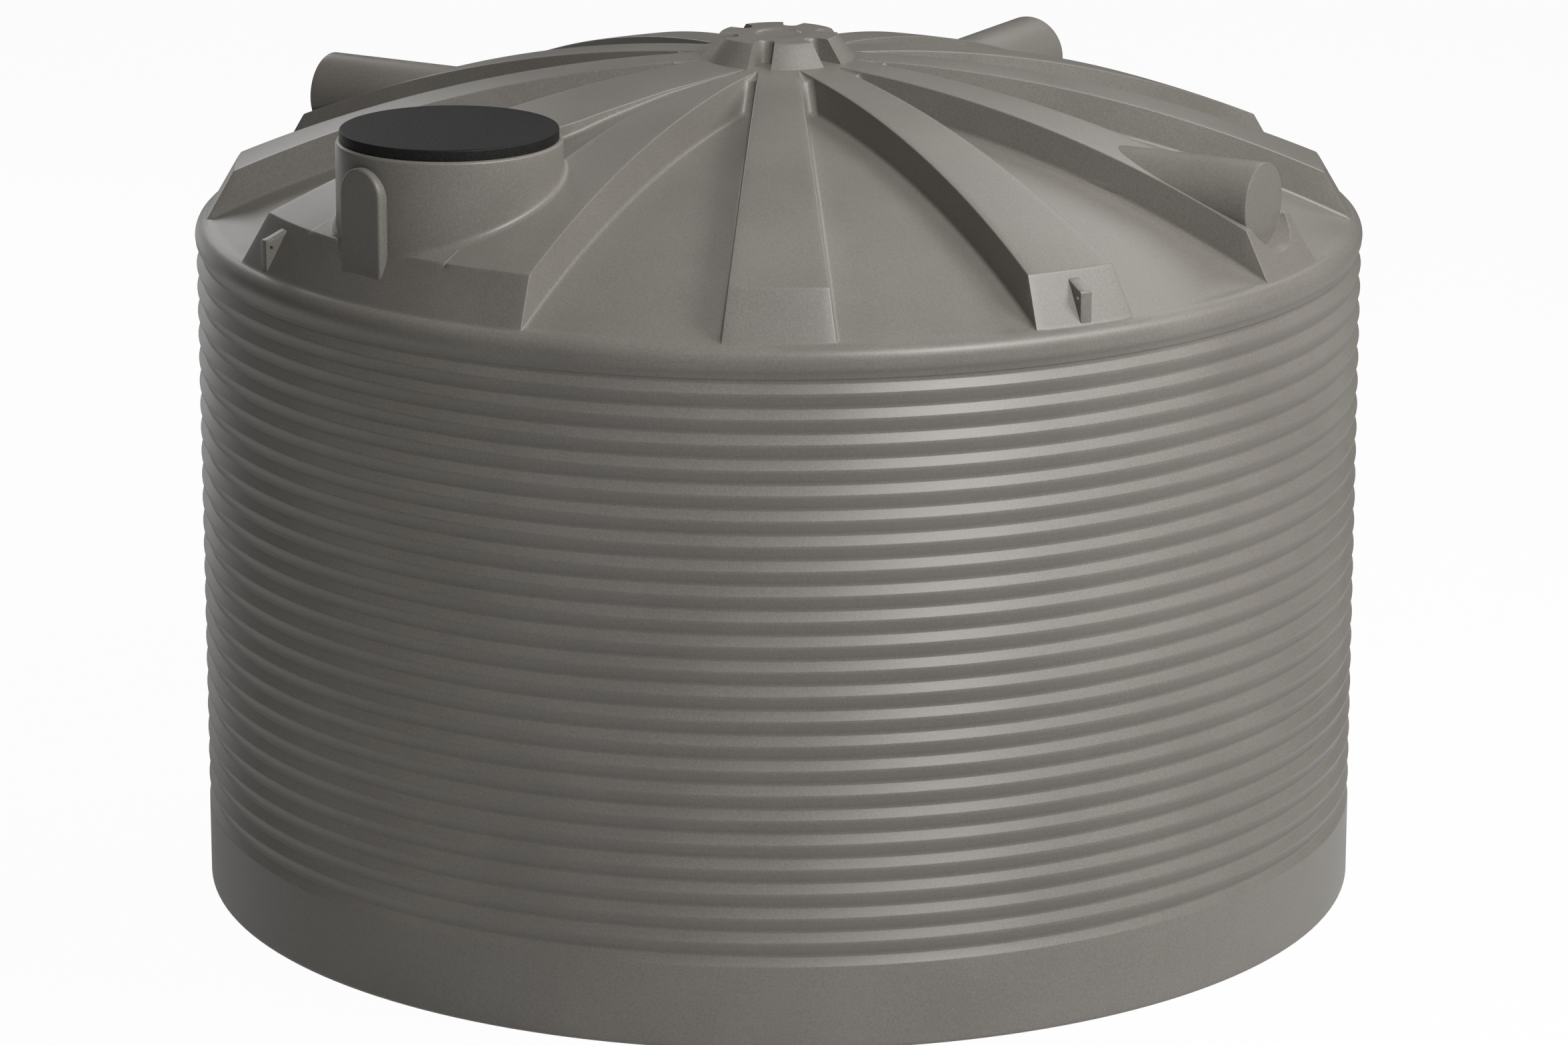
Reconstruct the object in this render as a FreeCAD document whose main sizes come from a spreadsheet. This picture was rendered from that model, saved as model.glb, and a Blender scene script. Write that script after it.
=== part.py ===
import FreeCAD, Part
import math
import os
import re

import Sketcher

# A round water tank of moulded polyethylene: a flat floor, a corrugated wall with a rounded
# eave, a domed roof with raised box ribs, a crown cap and a manhole with a lift-off lid.
# Millimetres, +Z up, origin at the middle of the underside. The photographed front is -Y.

# Driving dimensions

SIZES = [
    ("wall_thickness", 10, "moulded wall, the same all over the shell"),
    ("crest_radius", 1800, "outside of the corrugation crests and of the base band"),
    ("corrugation_depth", 17.5, "crest to trough"),
    ("corrugation_pitch", 74.7, "crest to crest"),
    ("corrugation_count", 23, "crests between the base band and the eave"),
    ("crest_land", 14, "flat width of a crest"),
    ("trough_land", 11.4, "flat width of a trough"),
    ("band_height", 289.4, "floor to the middle of the lowest trough"),
    ("rim_height", 40, "upturned rim of the floor pan"),
    ("floor_edge_radius", 14, "rounded bottom corner"),
    ("bead_radius", 50, "rounded eave between the wall and the roof"),
    ("bead_overhang", 3, "eave bead beyond the crests"),
    ("bead_rise", 55.5, "highest trough to the widest line of the eave bead"),
    ("bead_undercut_angle", 40, "where the bead turns into the highest trough, in degrees"),
    ("panel_dome_radius", 4216, "sphere of the roof panels, which starts at the top of the eave"),
    ("rib_height", 104, "rib tops above the panels, on a sphere with the same centre"),
    ("rib_half_width", 55, "half width of a rib's top, extended to the axis"),
    ("rib_flare", 0.0282, "growth of that half width for each millimetre outwards"),
    ("rib_draft_angle", 7, "lean of a rib's sides, in degrees"),
    ("rib_spacing", 30, "degrees between ribs"),
    ("rib_end_run", 78.5, "eave to the edge where a rib's top breaks into its end slope"),
    ("pocket_round", 22, "radius of the half-round that ends a panel near the crown"),
    ("flute_radius", 17, "outer end of the small flute from the crown to that half-round"),
    ("crown_radius", 222, "foot of the crown cap"),
    ("crown_draft_run", 42, "how far the crown's skirt leans inwards"),
    ("crown_height", 67, "top edge of the crown above its foot"),
    ("crown_rise", 8, "doming of the crown's top"),
    ("crown_dish_radius", 66, "shallow dish in the crown's top"),
    ("crown_dish_depth", 5, "depth of that dish"),
    ("notch_round", 29, "rounded inner end of a notch in the crown"),
    ("notch_inset", 86, "foot of the crown to the inner end of a notch"),
    ("notch_spacing", 60, "degrees between the crown's notches"),
    ("neck_radius", 335.3, "outside of the manhole neck"),
    ("neck_setback", 51.2, "outer side of the neck to the eave"),
    ("neck_rise", 160.6, "manhole rim above the rib dome, at the manhole's middle"),
    ("neck_skirt", 80, "depth of the neck's foot below the rib dome"),
    ("throat_radius", 300, "clear radius of the manhole"),
    ("rim_round", 9, "rounded outer edge of the manhole rim"),
    ("valley_depth", 48, "valley between the manhole's ribs, below their tops, at the neck"),
    ("pad_half_width", 86, "half width of the arched pad on the neck"),
    ("pad_reach", 20, "arched pad beyond the neck"),
    ("pad_drop", 121, "rim to the spring of the pad's arch"),
    ("lid_radius", 323, "outside of the lid"),
    ("lid_height", 33.5, "lid above the rim"),
    ("lid_wall", 6, "lid plate, skirt and spigot"),
    ("lid_edge_round", 5, "rounded top edge of the lid"),
    ("spigot_clearance", 5, "spigot to throat, all round"),
    ("spigot_depth", 40, "spigot below the rim"),
    ("seat_gap", 0.3, "lid skirt above the rim it rests on"),
    ("stub_radius", 125, "outside of an inlet stub"),
    ("stub_rise", 53, "axis of an inlet stub above the edge of the rib's end slope"),
    ("stub_setback", 2, "flat face of an inlet stub inside that edge"),
    ("lug_thickness", 36, "lifting lug"),
    ("lug_setback", 3, "outer edge of a lug inside the eave"),
    ("lug_height", 103, "outer top corner of a lug above the eave"),
    ("lug_reach", 70, "length of a lug's top edge, inwards"),
    ("lug_rise", 26, "rise of a lug's top edge, inwards"),
    ("lug_round", 10, "rounded outer top corner of a lug"),
    ("lug_hole_radius", 6, "hole through a lug"),
    ("lug_hole_inset", 17, "hole centre from the outer edge"),
    ("lug_hole_drop", 19, "hole centre below the outer top corner"),
]

document = FreeCAD.newDocument("water_tank")
sheet = document.addObject("Spreadsheet::Sheet", "Sizes")
for row, (alias, number, meaning) in enumerate(SIZES, start=1):
    sheet.set(f"A{row}", alias)
    sheet.set(f"B{row}", str(number))
    sheet.setAlias(f"B{row}", alias)
    sheet.set(f"C{row}", meaning)
document.recompute()


def formula(words):
    """The words with each size's name turned into a reference to its cell."""
    return re.sub(r"\b[a-z]+(?:_[a-z]+)+\b", lambda match: "Sizes." + match.group(0), words)


def bind(item, **properties):
    """Bind properties to formulas; a double underscore in a name stands for a dot."""
    for name, words in properties.items():
        item.setExpression(name.replace("__", "."), formula(words))
    return item


def evaluate(words):
    """The number that a formula gives now."""
    number = sheet.evalExpression(formula(words))
    return float(getattr(number, "Value", number))


# Formulas that several pieces share

TROUGH_RADIUS = "(crest_radius - corrugation_depth)"
WALL_TOP = "(band_height + corrugation_count * corrugation_pitch)"
BEAD_HEIGHT = f"({WALL_TOP} + bead_rise)"
EAVE_RADIUS = "(crest_radius + bead_overhang - bead_radius)"
EAVE_TOP = f"({BEAD_HEIGHT} + bead_radius)"
ROOF_CENTRE = f"({EAVE_TOP} - sqrt(panel_dome_radius^2 - {EAVE_RADIUS}^2))"
RIB_DOME_RADIUS = "(panel_dome_radius + rib_height)"
RIB_APEX = f"({ROOF_CENTRE} + {RIB_DOME_RADIUS})"
RIB_END_RADIUS = f"({EAVE_RADIUS} - rib_end_run)"
RIB_END_HEIGHT = f"({ROOF_CENTRE} + sqrt({RIB_DOME_RADIUS}^2 - {RIB_END_RADIUS}^2))"
END_SLOPE = f"(rib_end_run / ({RIB_END_HEIGHT} - {EAVE_TOP}))"
CROWN_BASE = f"({ROOF_CENTRE} + sqrt({RIB_DOME_RADIUS}^2 - crown_radius^2))"
CROWN_TOP = f"({CROWN_BASE} + crown_height)"
CROWN_TOP_RADIUS = "(crown_radius - crown_draft_run)"
ROOF_CLEAR = f"({CROWN_TOP} + crown_height)"
GAP_ANGLE = "(rib_spacing / 2 * 1 deg - atan(rib_flare))"
NECK_POSITION = f"({EAVE_RADIUS} - neck_setback - neck_radius)"
NECK_TOP = f"({ROOF_CENTRE} + sqrt({RIB_DOME_RADIUS}^2 - {NECK_POSITION}^2) + neck_rise)"


# Ways of making the pieces

def plane_of(body, role):
    return next(plane for plane in body.Origin.OriginFeatures if plane.Role == role)


def outline(body, name, role, corners, height=None):
    """A closed sketch on one of the body's planes, or on one raised to a height.

    Each corner is (across, up) in formulas. A third entry, (across, up), is the centre of an
    arc from the corner before; the corner itself then gives one coordinate and None.
    """
    sketch = body.newObject("Sketcher::SketchObject", name)
    sketch.AttachmentSupport = [(plane_of(body, role), "")]
    sketch.MapMode = "FlatFace"
    if height:
        bind(sketch, AttachmentOffset__Base__z=height)
    points = []
    for corner in corners:
        across, up = corner[0], corner[1]
        if len(corner) > 2 and (across is None or up is None):
            points.append(arc_end(points[-1], corner))
        else:
            points.append((evaluate(across), evaluate(up)))
    # Edge number index runs from the corner before to corner number index.
    ends = []
    for index, corner in enumerate(corners):
        start = FreeCAD.Vector(*points[index - 1], 0)
        end = FreeCAD.Vector(*points[index], 0)
        backwards = False
        if len(corner) > 2:
            centre = FreeCAD.Vector(evaluate(corner[2][0]), evaluate(corner[2][1]), 0)
            backwards = (start - centre).cross(end - centre).z < 0
            sketch.addGeometry(arc_about(centre, end, start) if backwards else arc_about(centre, start, end))
        else:
            sketch.addGeometry(Part.LineSegment(start, end))
        ends.append((2, 1) if backwards else (1, 2))
    for index, corner in enumerate(corners):
        following = (index + 1) % len(corners)
        sketch.addConstraint(Sketcher.Constraint(
            "Coincident", index, ends[index][1], following, ends[following][0]))
        for kind, axis, words in (("DistanceX", -2, corner[0]), ("DistanceY", -1, corner[1])):
            place(sketch, kind, axis, index, ends[index][1], words)
        if len(corner) > 2:
            centre_across, centre_up = corner[2]
            if None not in corner:
                # Both ends are held, so one coordinate of the centre is enough.
                width, height = (abs(points[index][i] - points[index - 1][i]) for i in (0, 1))
                centre_across, centre_up = (centre_across, None) if height >= width else (None, centre_up)
            place(sketch, "DistanceX", -2, index, 3, centre_across)
            place(sketch, "DistanceY", -1, index, 3, centre_up)
    return sketch


def place(sketch, kind, axis, edge, point, words):
    """Hold one coordinate of a point of the sketch to a formula."""
    if words is None:
        return
    if words == "0":
        sketch.addConstraint(Sketcher.Constraint("PointOnObject", edge, point, axis))
        return
    number = sketch.addConstraint(Sketcher.Constraint(kind, -1, 1, edge, point, evaluate(words)))
    sketch.setExpression(f"Constraints[{number}]", formula(words))


def arc_end(start, corner):
    """The far end of an arc, whose missing coordinate is worked out from its centre."""
    centre = (evaluate(corner[2][0]), evaluate(corner[2][1]))
    radius = math.dist(start, centre)
    if corner[1] is None:
        across = evaluate(corner[0])
        return across, centre[1] + math.sqrt(radius**2 - (across - centre[0]) ** 2)
    up = evaluate(corner[1])
    return centre[0] + math.sqrt(radius**2 - (up - centre[1]) ** 2), up


def arc_about(centre, start, end):
    """The arc about a centre, anticlockwise from one point to the other."""
    first = math.atan2(start.y - centre.y, start.x - centre.x)
    last = math.atan2(end.y - centre.y, end.x - centre.x)
    circle = Part.Circle(centre, FreeCAD.Vector(0, 0, 1), (start - centre).Length)
    return Part.ArcOfCircle(circle, first, last if last > first else last + 2 * math.pi)


def turned(name, corners, angle="360"):
    """A body of revolution about the tank's axis, its profile drawn in the XZ plane."""
    body = document.addObject("PartDesign::Body", name)
    sketch = outline(body, name + "_profile", "XZ_Plane", corners)
    turn(body, name + "_turn", sketch, angle)
    return body


def turn(body, name, sketch, angle):
    feature = body.newObject("PartDesign::Revolution", name)
    feature.Profile = sketch
    feature.ReferenceAxis = (sketch, ["V_Axis"])
    feature.Midplane = angle != "360"
    bind(feature, Angle=angle)
    return feature


def prism(name, corners):
    """A body raised from the floor plane from an outline in plan."""
    body = document.addObject("PartDesign::Body", name)
    sketch = outline(body, name + "_plan", "XY_Plane", corners)
    pad = body.newObject("PartDesign::Pad", name + "_pad")
    pad.Profile = sketch
    bind(pad, Length=ROOF_CLEAR)
    return body


def solid(kind, name, **properties):
    return bind(document.addObject("Part::" + kind, name), **properties)


def ball(name, radius):
    """A sphere about the centre that the roof's domes share."""
    return solid("Sphere", name, Radius=radius, Placement__Base__z=ROOF_CENTRE)


def level_cylinder(name, radius, start, length):
    """A cylinder that lies along +X at the height of an inlet stub."""
    item = solid(
        "Cylinder", name, Radius=radius, Height=length,
        Placement__Base__x=start, Placement__Base__z=STUB_HEIGHT,
    )
    item.Placement.Rotation = FreeCAD.Rotation(FreeCAD.Vector(0, 1, 0), 90)
    return item


def outward_half(name, start, length):
    """A block that spans the tank across +X and holds what lies beyond a start radius."""
    return solid(
        "Box", name, Length=length, Width="2 * crest_radius", Height=ROOF_CLEAR,
        Placement__Base__x=start, Placement__Base__y="-crest_radius",
    )


def combine(kind, name, base, *tools):
    """One boolean after another; the last takes the name."""
    for index, tool in enumerate(tools, start=1):
        item = document.addObject("Part::" + kind, name if index == len(tools) else f"{name}_step_{index}")
        item.Base = base
        item.Tool = tool
        base = item
    return base


def turn_to(item, label, angle):
    """Give an item its name and turn it about the tank's axis to its place."""
    item.Label = label
    item.Placement.Rotation.Axis = FreeCAD.Vector(0, 0, 1)
    return bind(item, Placement__Rotation__Angle=angle)


def copy_of(source, label, angle):
    item = document.addObject("Part::Compound", label)
    item.Links = [source]
    return turn_to(item, label, angle)


FRONT = "-90"
rib_count = round(360 / evaluate("rib_spacing"))
left_rib_number = 11
right_rib_number = 12
stub_rib_numbers = (3, 6, 9)
lug_rib_numbers = (2, 5, 8, 11)
MANHOLE_ANGLE = f"{FRONT} + ({left_rib_number} - 0.5) * rib_spacing"
pieces = []


def rib_angle(number):
    return f"{FRONT} + {number - 1} * rib_spacing"


# Floor pan

pieces.append(turned("tank_floor", [
    ("0", "0"),
    ("crest_radius - floor_edge_radius", "0"),
    ("crest_radius", "floor_edge_radius", ("crest_radius - floor_edge_radius", "floor_edge_radius")),
    ("crest_radius", "rim_height"),
    ("crest_radius - wall_thickness", "rim_height"),
    ("crest_radius - wall_thickness", "wall_thickness"),
    ("0", "wall_thickness"),
]))


# Corrugated wall, one segment for each rib

def wall_line(radius, height):
    """A point on the outside of the wall and its partner one wall thickness inside."""
    return (radius, height), (f"{radius} - wall_thickness", height)


def wall_profile(points):
    outer, inner = zip(*points)
    return list(outer) + list(reversed(inner))


slope_height = "((corrugation_pitch - crest_land - trough_land) / 2)"
wall = turned("wall_master", wall_profile([
    wall_line("crest_radius", "rim_height"),
    wall_line("crest_radius", f"band_height - trough_land / 2 - {slope_height}"),
    wall_line(TROUGH_RADIUS, "band_height - trough_land / 2"),
    wall_line(TROUGH_RADIUS, "band_height"),
]), "rib_spacing")

corrugation_profile = outline(wall, "corrugation_profile", "XZ_Plane", wall_profile([
    wall_line(TROUGH_RADIUS, "band_height"),
    wall_line(TROUGH_RADIUS, "band_height + trough_land / 2"),
    wall_line("crest_radius", f"band_height + trough_land / 2 + {slope_height}"),
    wall_line("crest_radius", f"band_height + trough_land / 2 + {slope_height} + crest_land"),
    wall_line(TROUGH_RADIUS, "band_height + corrugation_pitch - trough_land / 2"),
    wall_line(TROUGH_RADIUS, "band_height + corrugation_pitch"),
]))
corrugation = turn(wall, "corrugation", corrugation_profile, "rib_spacing")
document.recompute()
stack = wall.newObject("PartDesign::LinearPattern", "corrugation_stack")
stack.Originals = [corrugation]
stack.Direction = (corrugation_profile, ["V_Axis"])
stack.Mode = "Spacing"
bind(stack, Offset="corrugation_pitch", Occurrences="corrugation_count")
wall.Tip = stack

bead_centre = (EAVE_RADIUS, BEAD_HEIGHT)
eave_profile = outline(wall, "eave_profile", "XZ_Plane", [
    (TROUGH_RADIUS, WALL_TOP),
    (TROUGH_RADIUS, f"{WALL_TOP} + trough_land / 2"),
    (f"{EAVE_RADIUS} + bead_radius * cos(bead_undercut_angle)",
     f"{BEAD_HEIGHT} - bead_radius * sin(bead_undercut_angle)"),
    (EAVE_RADIUS, None, bead_centre),
    (EAVE_RADIUS, f"{EAVE_TOP} - wall_thickness"),
    (f"{EAVE_RADIUS} + (bead_radius - wall_thickness) * cos(bead_undercut_angle)", None, bead_centre),
    (f"{TROUGH_RADIUS} - wall_thickness", f"{WALL_TOP} + trough_land / 2"),
    (f"{TROUGH_RADIUS} - wall_thickness", WALL_TOP),
])
eave = turn(wall, "eave", eave_profile, "rib_spacing")

for number in range(1, rib_count + 1):
    pieces.append(copy_of(wall, f"wall_segment_{number:02d}", rib_angle(number)))


# Domes of the roof, and what limits the ribs outwards

rib_dome = ball("rib_dome", RIB_DOME_RADIUS)
rib_dome_inside = ball("rib_dome_inside", f"{RIB_DOME_RADIUS} - wall_thickness")
panel_dome = ball("panel_dome", "panel_dome_radius")
panel_dome_inside = ball("panel_dome_inside", "panel_dome_radius - wall_thickness")


def end_cone(name, inset):
    """A cone whose slope is the rib ends' slope, moved inwards by the inset."""
    shift = f"{inset} * sqrt(1 + {END_SLOPE}^2)"
    low = f"({EAVE_TOP} - 2 * rib_height)"
    return solid(
        "Cone", name,
        Radius1=f"{EAVE_RADIUS} + {END_SLOPE} * ({EAVE_TOP} - {low}) - {shift}",
        Radius2=f"{EAVE_RADIUS} - {END_SLOPE} * ({ROOF_CLEAR} - {EAVE_TOP}) - {shift}",
        Height=f"{ROOF_CLEAR} - {low}",
        Placement__Base__z=low,
    )


eave_cylinder = solid("Cylinder", "eave_cylinder", Radius=EAVE_RADIUS, Height=ROOF_CLEAR)
crown_cylinder = solid("Cylinder", "crown_cylinder", Radius="crown_radius", Height=ROOF_CLEAR)
sloped_limit = combine("Common", "sloped_limit", rib_dome, end_cone("rib_end_cone", "0"), eave_cylinder)
rib_limit = combine("Cut", "rib_limit", sloped_limit, crown_cylinder)
rib_hollow_limit = combine(
    "Common", "rib_hollow_limit", rib_dome_inside, end_cone("rib_end_cone_inside", "wall_thickness"))

sector_reach = "(2 * crest_radius)"
sector = prism("sector", [
    ("0", "0"),
    (sector_reach, f"-{sector_reach} * tan(rib_spacing / 2)"),
    (sector_reach, f"{sector_reach} * tan(rib_spacing / 2)"),
])


def rib_bar(name, inset):
    """A bar along +X whose sides flare outwards and lean out downwards as a rib's do."""
    body = document.addObject("PartDesign::Body", name)
    side = f"(rib_half_width - {inset} * sqrt(1 + rib_flare^2) / cos(rib_draft_angle))"
    far = f"({side} + rib_flare * {sector_reach})"
    sketch = outline(body, name + "_plan", "XY_Plane", [
        ("0", f"-{side}"),
        (sector_reach, f"-{far}"),
        (sector_reach, far),
        ("0", side),
    ], RIB_APEX)
    pad = body.newObject("PartDesign::Pad", name + "_pad")
    pad.Profile = sketch
    pad.Reversed = True
    bind(pad, Length=f"{RIB_APEX} - {EAVE_TOP} + 2 * rib_height", TaperAngle="rib_draft_angle")
    return body


bar = rib_bar("rib_bar", "0")
rib_block = combine("Common", "rib_block", bar, sector, rib_limit)
rib_form = combine("Cut", "rib_form", rib_block, panel_dome_inside)
rib_hollow = combine("Common", "rib_hollow", rib_bar("rib_bar_inside", "wall_thickness"), rib_hollow_limit)


# Manhole position, on the line midway between the two ribs left of the front one

manhole_tool = solid(
    "Cylinder", "manhole_tool", Radius="neck_radius", Height=ROOF_CLEAR, Placement__Base__x=NECK_POSITION)


def manhole_tool_beside(name, turns):
    """The manhole's cylinder as a rib sees it, half a rib spacing to one side."""
    return solid(
        "Cylinder", name, Radius="neck_radius", Height=ROOF_CLEAR,
        Placement__Base__x=f"{NECK_POSITION} * cos(rib_spacing / 2)",
        Placement__Base__y=f"{turns} * {NECK_POSITION} * sin(rib_spacing / 2)",
    )


# Inlet stubs: closed level tubes on top of three ribs, cut open on site. Outside its flat face
# a stub goes on as a scoop in the rib's end slope, with a wall behind it.

STUB_HEIGHT = f"({RIB_END_HEIGHT} + stub_rise)"
STUB_FACE = f"({RIB_END_RADIUS} - stub_setback)"
STUB_ROOT = f"(sqrt({RIB_DOME_RADIUS}^2 - ({STUB_HEIGHT} + stub_radius - {ROOF_CENTRE})^2) - stub_radius)"
plate_back = f"({STUB_FACE} - wall_thickness)"
stub_tool = level_cylinder("stub_tool", "stub_radius", STUB_ROOT, f"{STUB_FACE} - {STUB_ROOT}")
stub_hollow = level_cylinder(
    "stub_hollow", "stub_radius - wall_thickness", STUB_ROOT, f"{plate_back} - {STUB_ROOT}")
scoop_tool = level_cylinder("scoop_tool", "stub_radius + wall_thickness", plate_back, "crest_radius")
scoop_hollow = level_cylinder("scoop_hollow", "stub_radius", STUB_FACE, "crest_radius")
stub_above = combine("Cut", "stub_above", stub_tool, stub_hollow, rib_dome_inside)
scoop_walls = combine("Cut", "scoop_walls", scoop_tool, scoop_hollow)
scoop = combine("Common", "scoop", scoop_walls, rib_form)
for index, number in enumerate(stub_rib_numbers, start=1):
    name = f"inlet_stub_{index}"
    pieces.append(turn_to(combine("Fuse", name, stub_above, scoop), name, rib_angle(number)))


# Roof ribs: hollow boxes, cut where the manhole neck and the stubs stand in them

for number in range(1, rib_count + 1):
    name = f"roof_rib_{number:02d}"
    tools = [rib_hollow]
    if number == left_rib_number:
        tools.append(manhole_tool_beside("manhole_from_left", 1))
    elif number == right_rib_number:
        tools.append(manhole_tool_beside("manhole_from_right", -1))
    elif number in stub_rib_numbers:
        tools += [stub_tool, scoop_tool]
    pieces.append(turn_to(combine("Cut", name, rib_form, *tools), name, rib_angle(number)))


# Roof panels between the ribs, each ending near the crown in a half-round pocket

bar_left = copy_of(bar, "rib_bar_left", "rib_spacing / 2")
bar_right = copy_of(bar, "rib_bar_right", "-rib_spacing / 2")


def between_ribs(name, limit):
    """What a limit holds between two ribs' facing sides, with +X midway between them."""
    return combine("Cut", name, combine("Common", name + "_sector", sector, limit), bar_left, bar_right)


def wedge(body, name, height, tip, round_end):
    """A wedge in plan that opens along +X, its tip rounded, at one height of a body."""
    centre = f"({tip} + {round_end} / sin({GAP_ANGLE}))"
    touch = (f"{centre} - {round_end} * sin({GAP_ANGLE})", f"{round_end} * cos({GAP_ANGLE})")
    side = f"(({sector_reach} - {tip}) * tan({GAP_ANGLE}))"
    return outline(body, name, "XY_Plane", [
        (touch[0], touch[1]),
        (f"{centre} - {round_end}", "0", (centre, "0")),
        (touch[0], f"-{touch[1]}", (centre, "0")),
        (sector_reach, f"-{side}"),
        (sector_reach, side),
    ], height)


def pocket_tip(height):
    """Where the facing sides of two ribs would meet at a height."""
    side = f"(rib_half_width + ({RIB_APEX} - {height}) * tan(rib_draft_angle) * sqrt(1 + rib_flare^2))"
    return f"({side} / (tan(rib_spacing / 2) - rib_flare) / cos(rib_spacing / 2))"


pocket_body = document.addObject("PartDesign::Body", "pocket_body")
pocket_low = wedge(pocket_body, "pocket_low", EAVE_TOP, pocket_tip(EAVE_TOP), "pocket_round")
pocket_high = wedge(pocket_body, "pocket_high", RIB_APEX, pocket_tip(RIB_APEX), "pocket_round")
pocket_loft = pocket_body.newObject("PartDesign::AdditiveLoft", "pocket_loft")
pocket_loft.Profile = pocket_low
pocket_loft.Sections = [pocket_high]
pocket_loft.Ruled = True
pocket = combine("Cut", "pocket", pocket_body, panel_dome)

flute = solid(
    "Cone", "flute", Radius1="0", Radius2="flute_radius",
    Height=f"{pocket_tip(RIB_APEX)} + pocket_round / sin({GAP_ANGLE}) - crown_radius",
    Placement__Base__x="crown_radius", Placement__Base__z=CROWN_BASE,
)
flute.Placement.Rotation = FreeCAD.Rotation(FreeCAD.Vector(0, 1, 0), 90)

roof_limit = combine("Common", "roof_limit", rib_dome, eave_cylinder)
panel_limit = combine("Cut", "panel_limit", roof_limit, crown_cylinder, panel_dome_inside)
panel_block = between_ribs("panel_block", panel_limit)
panel_number = 0
for number in range(1, rib_count + 1):
    if number == left_rib_number:
        continue
    panel_number += 1
    name = f"roof_panel_{panel_number:02d}"
    panel = combine("Cut", name, panel_block, pocket, flute)
    pieces.append(turn_to(panel, name, f"{FRONT} + ({number} - 0.5) * rib_spacing"))


# Manhole platform: outside the neck a web at the level of the rib tops, inside it a shallow
# valley that starts at the crown and deepens towards the neck

neck_inner_side = f"({NECK_POSITION} - neck_radius)"
valley_drop = f"({RIB_APEX} - {ROOF_CENTRE} - sqrt({RIB_DOME_RADIUS}^2 - {neck_inner_side}^2) + valley_depth)"
VALLEY_RADIUS = f"(({neck_inner_side}^2 + {valley_drop}^2) / (2 * {valley_drop}))"
valley_centre = f"({RIB_APEX} - {VALLEY_RADIUS})"
valley_dome = solid("Sphere", "valley_dome", Radius=VALLEY_RADIUS, Placement__Base__z=valley_centre)
valley_dome_inside = solid(
    "Sphere", "valley_dome_inside", Radius=f"{VALLEY_RADIUS} - wall_thickness",
    Placement__Base__z=valley_centre)
inboard = outward_half("inboard_of_manhole", "0", NECK_POSITION)
over_valley = combine("Cut", "over_valley", inboard, valley_dome)
over_valley_inside = combine("Cut", "over_valley_inside", inboard, valley_dome_inside)
platform_core = combine("Cut", "platform_core", rib_hollow_limit, over_valley_inside)
platform_block = between_ribs("platform_block", rib_limit)
platform = combine(
    "Cut", "manhole_platform", platform_block, over_valley, platform_core, panel_dome_inside, manhole_tool)
pieces.append(turn_to(platform, "manhole_platform", MANHOLE_ANGLE))


# Manhole neck, standing on the ribs and the platform

def neck_body(name, corners):
    """A body of revolution about the manhole's own axis."""
    body = turned(name, corners)
    return bind(body, Placement__Base__x=NECK_POSITION)


neck_low = f"({RIB_END_HEIGHT} - neck_skirt)"
neck_turned = neck_body("neck_turned", [
    ("neck_radius", neck_low),
    ("neck_radius", f"{NECK_TOP} - rim_round"),
    ("neck_radius - rim_round", NECK_TOP, ("neck_radius - rim_round", f"{NECK_TOP} - rim_round")),
    ("throat_radius", NECK_TOP),
    ("throat_radius", f"{NECK_TOP} - wall_thickness"),
    ("neck_radius - wall_thickness", f"{NECK_TOP} - wall_thickness"),
    ("neck_radius - wall_thickness", neck_low),
])
foot_dome = ball("neck_foot_dome", f"{RIB_DOME_RADIUS} - neck_skirt")
pieces.append(turn_to(combine("Cut", "manhole_neck", neck_turned, foot_dome), "manhole_neck", MANHOLE_ANGLE))


# Arched pad on the outer side of the neck, running down onto the platform's end slope

pad_body = document.addObject("PartDesign::Body", "pad_body")
spring = f"({NECK_TOP} - pad_drop)"
pad_sketch = outline(pad_body, "pad_outline", "YZ_Plane", [
    ("-pad_half_width", EAVE_TOP),
    ("pad_half_width", EAVE_TOP),
    ("pad_half_width", spring),
    ("0", f"{spring} + pad_half_width", ("0", spring)),
    ("-pad_half_width", spring, ("0", spring)),
])
pad_raise = pad_body.newObject("PartDesign::Pad", "pad_raise")
pad_raise.Profile = pad_sketch
bind(pad_raise, Length=f"{NECK_POSITION} + neck_radius + pad_reach")
pad_outboard = combine(
    "Common", "pad_outboard", pad_body, outward_half("outboard_of_manhole", NECK_POSITION, "crest_radius"))
arch_pad = combine("Cut", "manhole_arch_pad", pad_outboard, manhole_tool, rib_limit)
pieces.append(turn_to(arch_pad, "manhole_arch_pad", MANHOLE_ANGLE))


# Lid, which rests on the manhole rim and drops a spigot into the throat

spigot_radius = "(throat_radius - spigot_clearance)"
lid_seat = f"({NECK_TOP} + seat_gap)"
lid_top = f"({NECK_TOP} + lid_height)"
lid_turned = neck_body("lid_turned", [
    ("0", lid_top),
    ("lid_radius - lid_edge_round", lid_top),
    ("lid_radius", f"{lid_top} - lid_edge_round", ("lid_radius - lid_edge_round", f"{lid_top} - lid_edge_round")),
    ("lid_radius", lid_seat),
    (spigot_radius, lid_seat),
    (spigot_radius, f"{NECK_TOP} - spigot_depth"),
    (f"{spigot_radius} - lid_wall", f"{NECK_TOP} - spigot_depth"),
    (f"{spigot_radius} - lid_wall", f"{lid_seat} + lid_wall"),
    ("lid_radius - lid_wall", f"{lid_seat} + lid_wall"),
    ("lid_radius - lid_wall", f"{lid_top} - lid_wall"),
    ("0", f"{lid_top} - lid_wall"),
])
pieces.append(copy_of(lid_turned, "manhole_lid", MANHOLE_ANGLE))


# Crown cap where the ribs meet: a low drafted cap with six rounded notches, whose floor is the
# rib dome, and a shallow dish in its top

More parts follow.
